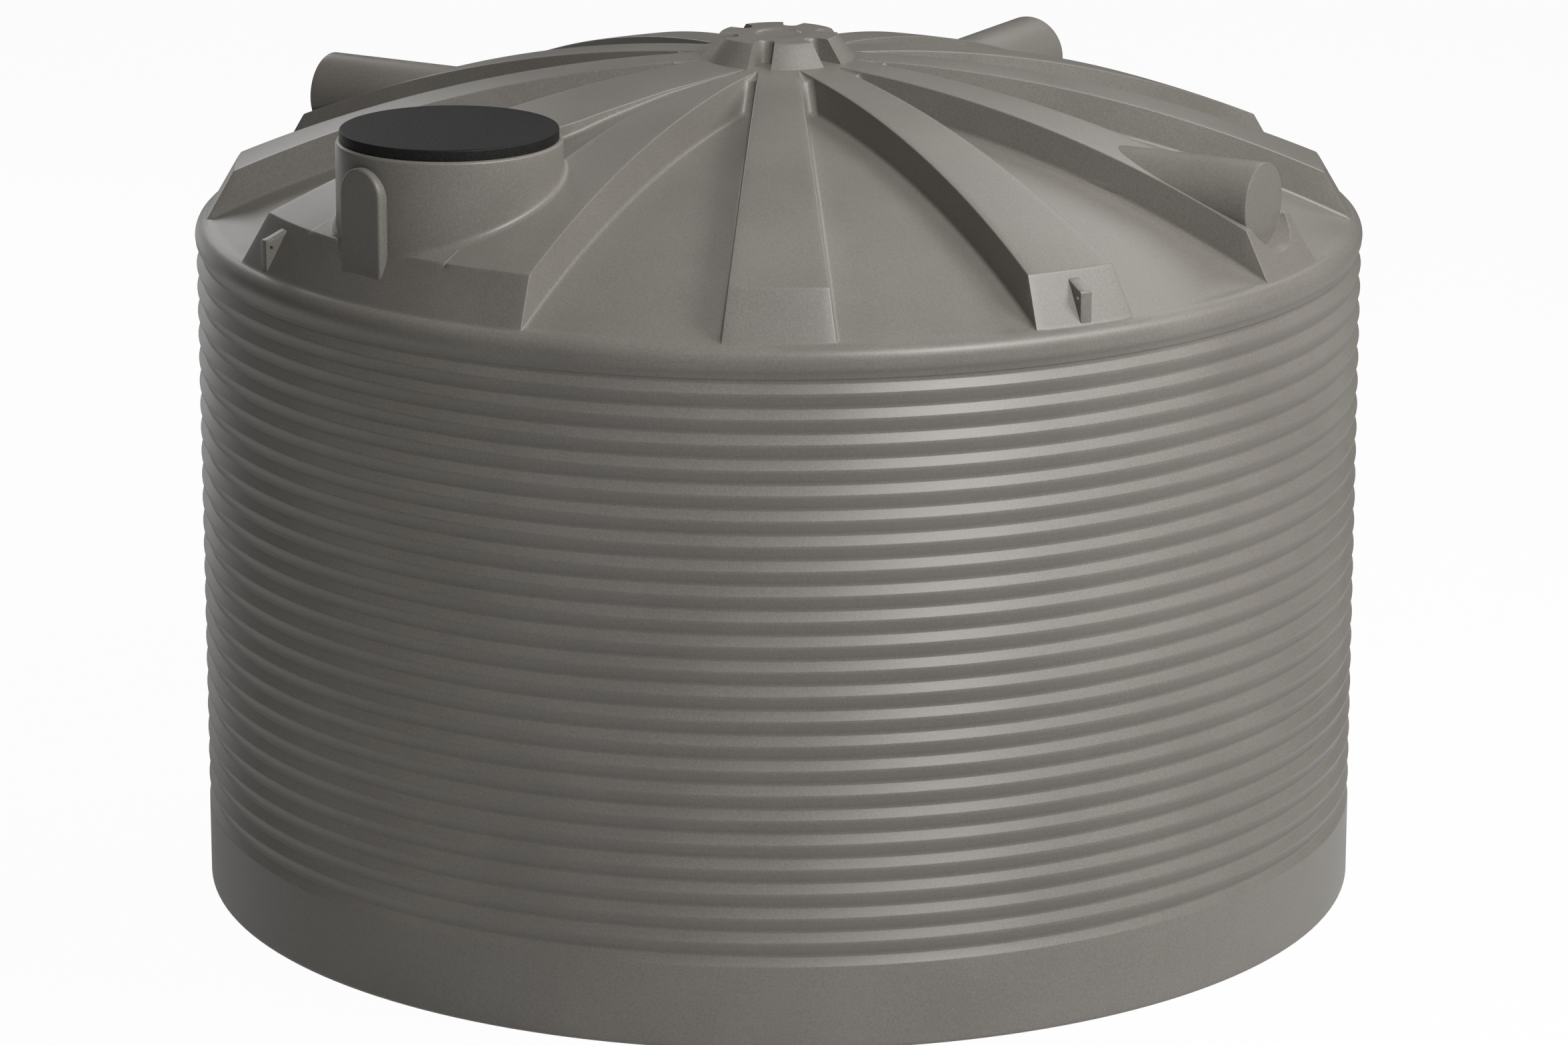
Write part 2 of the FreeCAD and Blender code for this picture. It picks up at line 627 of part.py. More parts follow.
def crown_form(name, inset):
    """The crown's outside, or its inside when drawn in by an inset."""
    top = f"({CROWN_TOP} + crown_rise - {inset})"
    bevel = "(crown_dish_radius + crown_dish_depth)"
    return turned(name, [
        ("0", f"{top} - crown_dish_depth"),
        ("crown_dish_radius", f"{top} - crown_dish_depth"),
        (bevel, top),
        (f"{CROWN_TOP_RADIUS} - {inset}", f"{CROWN_TOP} - {inset}"),
        (f"crown_radius - {inset}", f"{CROWN_BASE} - {inset}"),
        (f"crown_radius - {inset}", f"{CROWN_BASE} - crown_height"),
        ("0", f"{CROWN_BASE} - crown_height"),
    ])


def notch_set(name, inset, floor_dome):
    """Six notch cutters that stand on a dome, drawn out beyond the notches by an inset."""
    body = document.addObject("PartDesign::Body", name + "_body")
    round_end = f"(notch_round + {inset})"
    tip = f"(crown_radius - notch_inset + notch_round - notch_round / sin({GAP_ANGLE}) - {inset} / sin({GAP_ANGLE}))"
    pad = body.newObject("PartDesign::Pad", name + "_pad")
    pad.Profile = wedge(body, name + "_plan", None, tip, round_end)
    bind(pad, Length=ROOF_CLEAR)
    cutter = combine("Cut", name + "_cutter", body, floor_dome)
    copies = document.addObject("Part::Compound", name)
    copies.Links = [
        copy_of(cutter, f"{name}_{index}", f"{FRONT} - rib_spacing / 2 + {index} * notch_spacing")
        for index in range(round(360 / evaluate("notch_spacing")))
    ]
    return copies


crown_outside = combine(
    "Cut", "crown_outside", crown_form("crown_outer", "0"), rib_dome_inside, notch_set("notches", "0", rib_dome))
crown_inside = combine(
    "Cut", "crown_inside", crown_form("crown_inner", "wall_thickness"),
    notch_set("notch_walls", "wall_thickness", rib_dome_inside))
pieces.append(turn_to(combine("Cut", "roof_crown", crown_outside, crown_inside), "roof_crown", "0"))


# Lifting lugs: triangular plates on the end slopes of four ribs

lug_face = f"({EAVE_RADIUS} - lug_setback)"
lug_top = f"({EAVE_TOP} + lug_height)"
top_slope = "(lug_rise / lug_reach)"
top_length = f"sqrt(1 + {top_slope}^2)"
round_across = f"({lug_face} - lug_round)"
round_up = f"({lug_top} + lug_round * ({top_slope} - {top_length}))"
lug_body = document.addObject("PartDesign::Body", "lug_body")
lug_sketch = outline(lug_body, "lug_outline", "XZ_Plane", [
    (lug_face, EAVE_TOP),
    (lug_face, round_up),
    (f"{round_across} + lug_round * {top_slope} / {top_length}", f"{round_up} + lug_round / {top_length}",
     (round_across, round_up)),
    (f"{lug_face} - lug_reach", f"{lug_top} + lug_rise"),
    (f"{lug_face} - lug_reach", EAVE_TOP),
])
lug_pad = lug_body.newObject("PartDesign::Pad", "lug_pad")
lug_pad.Profile = lug_sketch
lug_pad.Midplane = True
bind(lug_pad, Length="lug_thickness")
hole_tool = solid(
    "Cylinder", "lug_hole_tool", Radius="lug_hole_radius", Height="2 * lug_thickness",
    Placement__Base__x=f"{lug_face} - lug_hole_inset", Placement__Base__y="lug_thickness",
    Placement__Base__z=f"{lug_top} - lug_hole_drop",
)
hole_tool.Placement.Rotation = FreeCAD.Rotation(FreeCAD.Vector(1, 0, 0), 90)
lug_plate = combine("Cut", "lug_plate", lug_body, hole_tool, rib_limit)
lug_set = document.addObject("Part::Compound", "lifting_lugs")
lug_set.Links = [
    copy_of(lug_plate, f"lug_copy_{index}", rib_angle(number))
    for index, number in enumerate(lug_rib_numbers, start=1)
]
pieces.append(lug_set)


# Test every object, then write each piece

document.recompute()
failed = [item for item in document.Objects if "Invalid" in item.State or "Error" in item.State]
if failed:
    raise RuntimeError("; ".join(item.Name + ": " + item.getStatusString().replace("\n", " ") for item in failed))
for piece in pieces:
    if piece.Shape.isNull() or not piece.Shape.isValid() or not piece.Shape.Solids:
        raise RuntimeError(f"{piece.Label} has no valid solid")
os.makedirs("parts", exist_ok=True)
for piece in pieces:
    piece.Shape.exportStep(f"parts/{piece.Label}.step")
    print(piece.Label, len(piece.Shape.Solids), round(piece.Shape.Volume / 1e6, 3), "litres")
print(len(pieces), "nodes", round(sum(piece.Shape.Volume for piece in pieces) / 1e9, 4), "m3")
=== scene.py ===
import bmesh
import bpy
import numpy as np
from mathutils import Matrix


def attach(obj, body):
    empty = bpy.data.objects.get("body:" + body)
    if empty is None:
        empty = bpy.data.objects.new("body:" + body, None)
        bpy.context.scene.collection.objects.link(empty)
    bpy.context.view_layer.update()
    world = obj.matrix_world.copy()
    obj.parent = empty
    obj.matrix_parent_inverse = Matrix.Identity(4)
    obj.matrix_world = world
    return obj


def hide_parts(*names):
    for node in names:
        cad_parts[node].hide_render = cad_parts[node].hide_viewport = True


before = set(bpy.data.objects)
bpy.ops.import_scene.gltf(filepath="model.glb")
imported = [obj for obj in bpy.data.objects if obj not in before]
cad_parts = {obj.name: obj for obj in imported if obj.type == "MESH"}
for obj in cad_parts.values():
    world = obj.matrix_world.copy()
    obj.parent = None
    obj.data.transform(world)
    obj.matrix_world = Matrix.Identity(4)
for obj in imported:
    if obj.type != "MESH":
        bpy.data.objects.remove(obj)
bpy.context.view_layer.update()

# Wall and floor pan: the lower part of one seamless rotational moulding in polyethylene. Hoops of
# rounded corrugations stiffen it above a plain band, and the flat floor turns up into that band.

millimetre = 0.001
crest_radius = 1800.0
corrugation_depth = 17.5
corrugation_pitch = 74.7
corrugation_count = 23
crest_land = 12.6
trough_land = 11.4
band_height = 289.4
floor_edge = 14.0
shell_thickness = 10.0
first_trough = band_height - trough_land / 2
wall_top = band_height + corrugation_count * corrugation_pitch + trough_land / 2


def ease(share):
    """Half a cosine wave from 0 to 1, level beyond both ends."""
    return 0.5 - 0.5 * np.cos(np.pi * np.clip(share, 0, 1))


def corrugation(height):
    """Going up from a trough's lower corner: the wall bows out of the trough, runs straight to the
    crest, bows upright over the crest's land to a corner, and falls straight back to the trough."""
    slope = (corrugation_pitch - crest_land - trough_land) / 2
    lean = corrugation_depth / (slope + (crest_land + trough_land) / 2)
    hoop = np.clip(np.floor((height - first_trough) / corrugation_pitch), 0, corrugation_count)
    above = height - first_trough - corrugation_pitch * hoop
    bowed = lean * np.clip(above, 0, trough_land) ** 2 / (2 * trough_land)
    straight = lean * np.clip(above - trough_land, 0, slope)
    crest = np.clip(above - trough_land - slope, 0, crest_land)
    upright = lean * (crest - crest**2 / (2 * crest_land))
    fall = (np.clip(above - corrugation_pitch + slope, 0, slope) - np.clip(-above, 0, slope)) / slope
    return crest_radius - corrugation_depth * (1 + fall) + bowed + straight + upright


def wall_radius(height):
    """The corrugation with its corners rounded: the mean at five heights over 2 mm."""
    return np.mean([corrugation(height + shift) for shift in (-1.0, -0.5, 0.0, 0.5, 1.0)], axis=0)


def turned(profile, columns, centre=(0.0, 0.0)):
    """A profile of (radius, height) carried once around an upright axis: x = radius * sin(turn) and
    y = -radius * cos(turn), from the front of the tank towards its right."""
    turn = np.linspace(0, 2 * np.pi, columns + 1)
    radius, height = np.asarray(profile, float).T[:, :, None]
    return np.stack([
        centre[0] + radius * np.sin(turn),
        centre[1] - radius * np.cos(turn),
        height + 0 * turn,
    ], -1)


def surface(name, *grids, sharp=32.0, outwards=None, bore=None):
    """A mesh from grids of points in millimetres. Neighbours along and across a grid make a quad,
    points that meet at a seam, a pole or the next grid are merged, and the faces point outwards.
    bore is (x, y, radius): quads wholly inside that upright cylinder go, and the rest end on it."""
    points = np.concatenate([grid.reshape(-1, 3) for grid in grids])
    quads, first = [], 0
    for grid in grids:
        rows, columns = grid.shape[:2]
        index = np.arange(rows * columns).reshape(rows, columns) + first
        corners = index[:-1, :-1], index[:-1, 1:], index[1:, 1:], index[1:, :-1]
        quads.append(np.stack(corners, -1).reshape(-1, 4))
        first += rows * columns
    quads = np.concatenate(quads)
    if bore:
        away = points[:, :2] - np.array(bore[:2])
        distance = np.hypot(away[:, 0], away[:, 1])
        quads = quads[(distance[quads] > bore[2]).any(axis=1)]
        pull = np.maximum(bore[2] / np.maximum(distance, 1e-9), 1)
        points = points + np.column_stack([away * (pull - 1)[:, None], np.zeros(len(points))])
        used, quads = np.unique(quads, return_inverse=True)
        points, quads = points[used], quads.reshape(-1, 4)
    mesh = bpy.data.meshes.new(name)
    mesh.from_pydata((points * millimetre).tolist(), [], quads.tolist())
    shape = bmesh.new()
    shape.from_mesh(mesh)
    bmesh.ops.remove_doubles(shape, verts=shape.verts, dist=2e-5)
    bmesh.ops.dissolve_degenerate(shape, edges=shape.edges, dist=1e-6)
    bmesh.ops.recalc_face_normals(shape, faces=shape.faces)
    shape.to_mesh(mesh)
    shape.free()
    if outwards is not None:
        normals = np.empty(3 * len(mesh.polygons), np.float32)
        mesh.polygons.foreach_get("normal", normals)
        if (normals.reshape(-1, 3) @ np.array(outwards, np.float32)).sum() < 0:
            mesh.flip_normals()
    mesh.shade_smooth()
    mesh.set_sharp_from_angle(angle=np.radians(sharp))
    piece = bpy.data.objects.new(name, mesh)
    bpy.context.scene.collection.objects.link(piece)
    return piece


class Value:
    """A shader socket whose arithmetic adds Math nodes to its tree."""

    def __init__(self, tree, socket=None):
        self.tree = tree
        self.socket = socket

    def node(self, kind, settings, output=0, **sockets):
        """A node of a kind: its settings come first, then its sockets, by name or as n0, n1 and so
        on, each with a number, a colour or another value. It gives one of the node's outputs."""
        made = self.tree.nodes.new("ShaderNode" + kind)
        for setting, choice in settings.items():
            setattr(made, setting, choice)
        for label, value in sockets.items():
            target = made.inputs[int(label[1:]) if label[1:].isdigit() else label]
            if isinstance(value, Value):
                self.tree.links.new(value.socket, target)
            else:
                target.default_value = value
        return Value(self.tree, made.outputs[output])

    def maths(self, operation, *values):
        """A Math node on values and numbers."""
        sockets = {f"n{place}": value for place, value in enumerate(values)}
        return self.node("Math", {"operation": operation}, **sockets)

    def __add__(self, other):
        return self.maths("ADD", self, other)

    def __mul__(self, other):
        return self.maths("MULTIPLY", self, other)

    __radd__ = __add__
    __rmul__ = __mul__

    def between(self, low, high):
        """0 below low, 1 above high, eased between."""
        return self.node("MapRange", {"interpolation_type": "SMOOTHSTEP"}, n0=self, n1=low, n2=high)

    def mixed(self, first, second):
        """Two colours mixed by this value."""
        return self.node("Mix", {"data_type": "RGBA"}, 2, n0=self, n6=first, n7=second)

    def feeds(self, shader, label):
        """A link from this value to a shader's own socket."""
        self.tree.links.new(self.socket, shader.inputs[label])


def new_material(name):
    """A material with one Principled shader; returns it, a value to build on, and the shader."""
    material = bpy.data.materials.new(name)
    material.use_nodes = True
    tree = material.node_tree
    return material, Value(tree), tree.nodes["Principled BSDF"]


def grain(start, size, detail=2.0, roughness=0.5):
    """Noise in the object's own coordinates, with features about one size in metres across."""
    place = start.node("TexCoord", {}, 3)
    return start.node(
        "TexNoise", {}, Vector=place, Scale=1 / size, Detail=detail, Roughness=roughness)


speckle_size = 0.006
cloud_size = 0.5
peel_size = 0.012
peel_depth = 0.002


def polyethylene(name, dark, light, roughness, texture=0.10):
    """Moulded polyethylene: pigment speckle a few millimetres across over faint clouds, an uneven
    satin finish about the roughness, and the fine orange-peel of the mould, whose strength is the
    texture."""
    material, start, shader = new_material(name)
    speckle = grain(start, speckle_size, detail=3.0, roughness=0.7)
    cloud = grain(start, cloud_size, detail=3.0)
    tone = speckle * 0.65 + cloud * 0.35
    tone.between(0.36, 0.64).mixed((*dark, 1), (*light, 1)).feeds(shader, "Base Color")
    finish = cloud * 0.16 + speckle * 0.08 + (roughness - 0.12)
    finish.feeds(shader, "Roughness")
    peel = grain(start, peel_size)
    bump = start.node("Bump", {}, Height=peel, Strength=texture, Distance=peel_depth)
    bump.feeds(shader, "Normal")
    return material


# The rows of points up the wall. Those of a hoop are heights above its trough's lower corner.
floor_line = [(0.0, 0.0), (600.0, 0.0), (1200.0, 0.0)]
corner = np.radians(np.linspace(-90, 0, 7))
corner_line = np.column_stack([
    crest_radius - floor_edge + floor_edge * np.cos(corner),
    floor_edge + floor_edge * np.sin(corner),
])
hoop_rows = np.array([
    -1.1, -0.4, 0.4, 1.1, 5.0, 8.5, 11.4, 36.7, 40.0, 43.0, 46.0, 48.2, 49.0, 49.7, 50.5])
hoop_starts = first_trough + corrugation_pitch * np.arange(corrugation_count)[:, None]
outer_heights = np.concatenate([
    np.linspace(30, 250, 6),
    [257.0, 258.5, 260.0, 261.5],
    (hoop_starts + hoop_rows).ravel(),
    wall_top - np.array([13.0, 11.0, 8.0, 4.0, 0.0]),
])
inner_heights = np.linspace(wall_top, 60, 6 * corrugation_count)
wall_line = np.concatenate([
    floor_line,
    corner_line,
    np.column_stack([wall_radius(outer_heights), outer_heights]),
    np.column_stack([wall_radius(inner_heights) - shell_thickness, inner_heights]),
    [(crest_radius - shell_thickness, shell_thickness), (0.0, shell_thickness)],
])
tank_plastic = polyethylene("wall_plastic", (0.173, 0.161, 0.143), (0.225, 0.210, 0.188), 0.42)
wall = surface("tank_wall", turned(wall_line, 180), sharp=50)
wall.data.materials.append(tank_plastic)
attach(wall, "tank")
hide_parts("tank_floor", *[f"wall_segment_{number:02d}" for number in range(1, 13)])


# Roof: the top of the same moulding, from the rounded eave to the crown. Twelve hollow ribs stand
# on its domed panels, drafted so that the mould lets go. Two of them carry a web with the manhole.

eave_radius = 1753.0
eave_round = 50.0
eave_rise = 55.5
eave_widest = band_height + corrugation_count * corrugation_pitch + eave_rise
eave_top = eave_widest + eave_round
panel_dome_radius = 4216.0
rib_spacing = np.radians(30.0)
half_spacing = np.radians(15.0)
rib_height = 104.0
rib_half_width = 55.0
rib_flare = 0.0282
rib_draft = np.tan(np.radians(7.0))
rib_end_run = 73.0
rib_edge_round = 4.0
rib_foot_round = 14.0
pocket_round = 22.0
slope_foot_out = 13.0
slope_foot_down = 2.0
slope_blend = 3.0
panel_blend = 10.0
roof_centre = eave_top - np.sqrt(panel_dome_radius**2 - eave_radius**2)
rib_dome_radius = panel_dome_radius + rib_height
rib_apex = roof_centre + rib_dome_radius
gap_slope = half_spacing - np.arctan(rib_flare)
neck_radius = 335.3
neck_setback = 51.2
neck_position = eave_radius - neck_setback - neck_radius
neck_turn = np.radians(-45.0)
neck_centre = (neck_position * np.sin(neck_turn), -neck_position * np.cos(neck_turn))
neck_inner_side = neck_position - neck_radius
bore_radius = 329.0
valley_depth = 56.0
groove_start = 190.0
groove_run = 60.0
seam_start = 1200.0
seam_end = 1690.0
seam_run = 12.0
seam_depth = 3.0
seam_half_width = 1.6
stub_ribs = (3, 6, 9)
stub_radius = 125.0
stub_lift = 51.5
stub_setback = 20.5
scoop_gap = 1.5
scoop_flare = 0.1
scoop_least = 40.0
scoop_start = 1480.0
scoop_run = 150.0


def dome(radius, distance):
    """Height of a sphere about the roof's centre at a distance from the tank's axis."""
    return roof_centre + np.sqrt(radius**2 - distance**2)


def panel_floor(distance):
    """Height of a roof panel: the inner of the two domes."""
    return dome(panel_dome_radius, distance)


def least(first, second, blend):
    """The lower of two heights, rounded over where they differ by less than the blend."""
    share = np.clip(0.5 + 0.5 * (second - first) / blend, 0, 1)
    return second + (first - second) * share - blend * share * (1 - share)


def most(first, second, blend):
    """The higher of two heights, rounded the same way."""
    return -least(-first, -second, blend)


rib_end_radius = eave_radius - rib_end_run
rib_end_height = dome(rib_dome_radius, rib_end_radius)
end_slope = (rib_end_height - eave_top + slope_foot_down) / (rib_end_run + slope_foot_out)
stub_axis = rib_end_height + stub_lift
stub_face = rib_end_radius - stub_setback


def rib_top(distance):
    """The rib dome out to the rib's end, then the end slope down to the eave."""
    slope = rib_end_height + (rib_end_radius - distance) * end_slope
    return least(dome(rib_dome_radius, distance), slope, slope_blend)


valley_drop = rib_apex - dome(rib_dome_radius, neck_inner_side) + valley_depth
valley_radius = (neck_inner_side**2 + valley_drop**2) / (2 * valley_drop)


def valley(distance):
    """Between the manhole's ribs: a sphere through the apex inside the manhole, the rib tops' level
    outside it."""
    inside = rib_apex - valley_radius + np.sqrt(valley_radius**2 - distance**2)
    return np.where(distance < neck_position, inside, rib_top(distance))


def rib_side(distance, height):
    """Half width of a rib at a distance from the tank's axis: the flared and drafted half width,
    solved for the point that lies at that distance."""
    base = rib_half_width + (rib_apex - height) * rib_draft * np.sqrt(1 + rib_flare**2)
    spread = 1 + rib_flare**2
    return (base + rib_flare * np.sqrt(np.maximum(spread * distance**2 - base**2, 0))) / spread


def ribs_meet(height):
    """Distance along the middle of a gap at which the two ribs' sides meet."""
    side = rib_half_width + (rib_apex - height) * rib_draft * np.sqrt(1 + rib_flare**2)
    return side / (np.tan(half_spacing) - rib_flare) / np.cos(half_spacing)


# Lines across a rib's side, from its top to the panel: how far each lies outside the side, and
# its height, as shares of the two roundings.
edge_bend = np.linspace(0, 1, 4)
foot_bend = np.linspace(0, 1, 5)
side_lines = len(edge_bend) + len(foot_bend)


def side_line(top, floor, line):
    """Offset from a rib's side and height of one line: the edge's and the foot's roundings are
    curves of the second degree with the sharp corner as their control point."""
    drop = np.maximum(top - floor, 0)
    edge = np.minimum(rib_edge_round, 0.3 * drop)
    foot = np.minimum(rib_foot_round, 0.5 * drop)
    if line < len(edge_bend):
        return edge * (1 - edge_bend[line]) ** 2, top - edge * edge_bend[line] ** 2
    share = foot_bend[line - len(edge_bend)]
    return -foot * share**2, floor + foot * (1 - share) ** 2


# Rows of points outwards: from the rim under the crown cap to the hub radius, along the ribs to
# the eave, round its bead, and down inside the top of the wall.
top_columns = 5
panel_columns = 3
stub_columns = 16
lip_columns = 12
web_columns = 22
bow_columns = 23
hub_radius = 420.0
skirt_radius = 110.0
hub_leg = np.linspace(hub_radius, skirt_radius, 12)
rib_rows = np.concatenate([
    np.linspace(hub_radius, 1000, 12),
    np.linspace(1024, 1645, 27),
    [1652, 1657, 1660.5, 1664, 1668, 1672, 1676, 1678.5, 1680, 1681.5, 1684, 1688, 1692],
    [1697, 1702, 1707, 1712, 1716, 1719, 1721.5, 1723.5, 1725, 1726.5, 1728, 1731, 1736, 1742, 1748],
])
bead_rows_above = 13
bead_turn = np.radians(np.concatenate([np.linspace(90, 30, bead_rows_above), np.linspace(20, -40, 7)]))
wall_lap = wall_top + np.array([8.0, 2.0, 0.0])
row_radius = np.concatenate([
    rib_rows,
    eave_radius + eave_round * np.cos(bead_turn),
    wall_radius(wall_lap),
])
far_below = -1e4
bead_line = np.concatenate([
    np.full(len(rib_rows), far_below),
    eave_widest + eave_round * np.sin(bead_turn),
    wall_lap,
])
near_bead = rib_rows > eave_radius - eave_round + 5
bead_line[:len(rib_rows)][near_bead] = eave_widest + np.sqrt(
    eave_round**2 - (rib_rows[near_bead] - eave_radius) ** 2)
on_roof = row_radius <= eave_radius + eave_round * np.cos(np.radians(29))
on_roof[len(rib_rows) + bead_rows_above:] = False


def roof_rows(shape, blend):
    """A height over the roof's rows, blended into the eave bead."""
    height = shape(np.minimum(row_radius, eave_radius + 45))
    return np.where(on_roof, most(height, bead_line, blend), bead_line)


def stub_shares(top, edge_turn):
    """Columns over half a rib's top that carries a stub, as shares of its width: they close up on
    the lip of the scoop that the stub's own cylinder cuts in front of its face."""
    reach = stub_radius + scoop_gap + scoop_flare * np.maximum(row_radius - stub_face, 0)
    level = np.where(row_radius < stub_face, rib_top(stub_face), top)
    lip = np.maximum(np.sqrt(np.maximum(reach**2 - (stub_axis - level) ** 2, 0)), scoop_least)
    lip = np.arcsin(lip / row_radius) / edge_turn
    column = np.arange(stub_columns)[:, None]
    even = np.floor(column * top_columns / stub_columns) / top_columns
    within = np.sin(np.pi / 2 * np.minimum(column, lip_columns) / lip_columns) * lip
    beyond = lip + (1 - lip) * (column - lip_columns) / (stub_columns - lip_columns)
    closed = np.where(column < lip_columns, within, beyond)
    return even + (closed - even) * ease((row_radius - scoop_start) / scoop_run)


def half_gap(stub):
    """Turn from the rib's middle and height, row by row, from that middle to the gap's middle. A
    stub's scoop is the lower half of a level cylinder that widens outwards."""
    top = roof_rows(rib_top, slope_blend)
    floor = np.minimum(roof_rows(panel_floor, panel_blend), top)
    turns, heights = [], []
    clear = np.minimum(top, eave_top)
    for line in range(side_lines):
        offset, height = side_line(top, floor, line)
        level = np.where(on_roof, height, clear)
        width = rib_side(row_radius, level) - offset
        turns.append(np.arcsin(width / row_radius))
        heights.append(height)
    shares = np.linspace(0, 1, top_columns + 1)[:-1, None] * np.ones_like(row_radius)
    if stub:
        shares = stub_shares(top, turns[0])
    top_turns = shares * turns[0]
    top_heights = top + 0 * shares
    if stub:
        along = row_radius * np.cos(top_turns)
        across = row_radius * np.sin(top_turns)
        reach = stub_radius + scoop_gap + scoop_flare * np.maximum(along - stub_face, 0)
        scoop = stub_axis - np.sqrt(np.maximum(reach**2 - across**2, 0))
        inside = (along > stub_face - scoop_gap) & (across < reach)
        top_heights = np.where(inside, np.minimum(top_heights, scoop), top_heights)
    panel_shares = np.linspace(0, 1, panel_columns + 1)[1:, None]
    panel_turns = turns[-1] + panel_shares * (half_spacing - turns[-1])
    return (np.concatenate([top_turns, turns, panel_turns]),
            np.concatenate([top_heights, heights, floor + 0 * panel_shares]))


def polar(radius, turn, height):
    """Points from a distance, a turn from the front and a height."""
    return np.stack([radius * np.sin(turn), -radius * np.cos(turn), height + 0 * turn], -1)


def rib_middle(distance):
    """Turn of the line along rib 12 at which the manhole's part of the roof ends: the rib's middle,
    and near the crown a line that keeps clear of the groove."""
    return np.radians(np.interp(distance, [236, 300, 360, 420], [-20, -24, -27, -30]))


def groove_edges(distance, level):
    """Turns of the groove's two edges: near the crown it starts in front of the cap's foot, it
    widens as it runs down, and it ends at the manhole's collar. Outside the manhole the two edges
    become the seams, along the ribs' sides."""
    half = np.degrees(np.arcsin(np.minimum(rib_side(distance, level) / distance, 1)))
    upper = np.interp(distance, [225, 356, 515, 642, 784, 850, 884, 905, 950, 1040],
                      [-25.8, -33.8, -39.7, -41.8, -44.1, -44.8, -45.5, -46.2, -47.6, -49.4])
    lower_distances = [239, 328, 456, 578, 676, 777]
    lower = np.interp(distance, lower_distances, [-24.1, -29.2, -32.4, -34.6, -35.8, -36.4])
    return (np.radians(np.where(distance < seam_start, upper, half - 60)),
            np.radians(np.where(distance < lower_distances[-1], lower, -30 - half)))


def manhole_gap():
    """The roof from rib 11's middle to rib 12's: a web level with the ribs' tops, with a groove
    from the crown to the manhole and two fine seams between the manhole and the eave."""
    distance = np.concatenate([hub_leg[::-1], row_radius[1:]])
    inwards = distance < neck_position
    top = np.concatenate([dome(rib_dome_radius, hub_leg[:0:-1]), roof_rows(rib_top, slope_blend)])
    floor = np.minimum(valley(np.minimum(distance, eave_radius)), top)
    floor = np.where(inwards, floor, top)
    floor = top + (floor - top) * ease((distance - groove_start) / groove_run)
    roofed = np.concatenate([np.full(len(hub_leg) - 1, True), on_roof])
    level = np.where(roofed, top, np.minimum(top, eave_top))
    upper, lower = groove_edges(distance, level)
    seam = seam_depth * ease((seam_end - distance) / seam_run)
    left, right, heights = [], [], []
    for line in range(side_lines):
        offset, height = side_line(top, floor, line)
        cut = -1 + 2 * line / (side_lines - 1)
        shift = np.where(inwards, (top - height) * rib_draft - offset, seam_half_width * cut)
        heights.append(np.where(inwards, height, top - seam * (1 - abs(cut))))
        left.append(upper + shift / distance)
        right.append(lower - shift / distance)
    shares = np.linspace(0, 1, top_columns + 1)[:-1, None]
    first = np.radians(-60) + shares * (left[0] + np.radians(60))
    last = rib_middle(distance) + shares * (right[0] - rib_middle(distance))
    middle_shares = np.linspace(0, 1, web_columns)[1:-1, None]
    middle = left[-1] + middle_shares * (right[-1] - left[-1])
    low = np.where(inwards, floor, top)
    turn = np.concatenate([first, left, middle, right[::-1], last[::-1]])
    height = np.concatenate([top + 0 * first, heights, low + 0 * middle, heights[::-1], top + 0 * last])
    return polar(distance, turn, height)


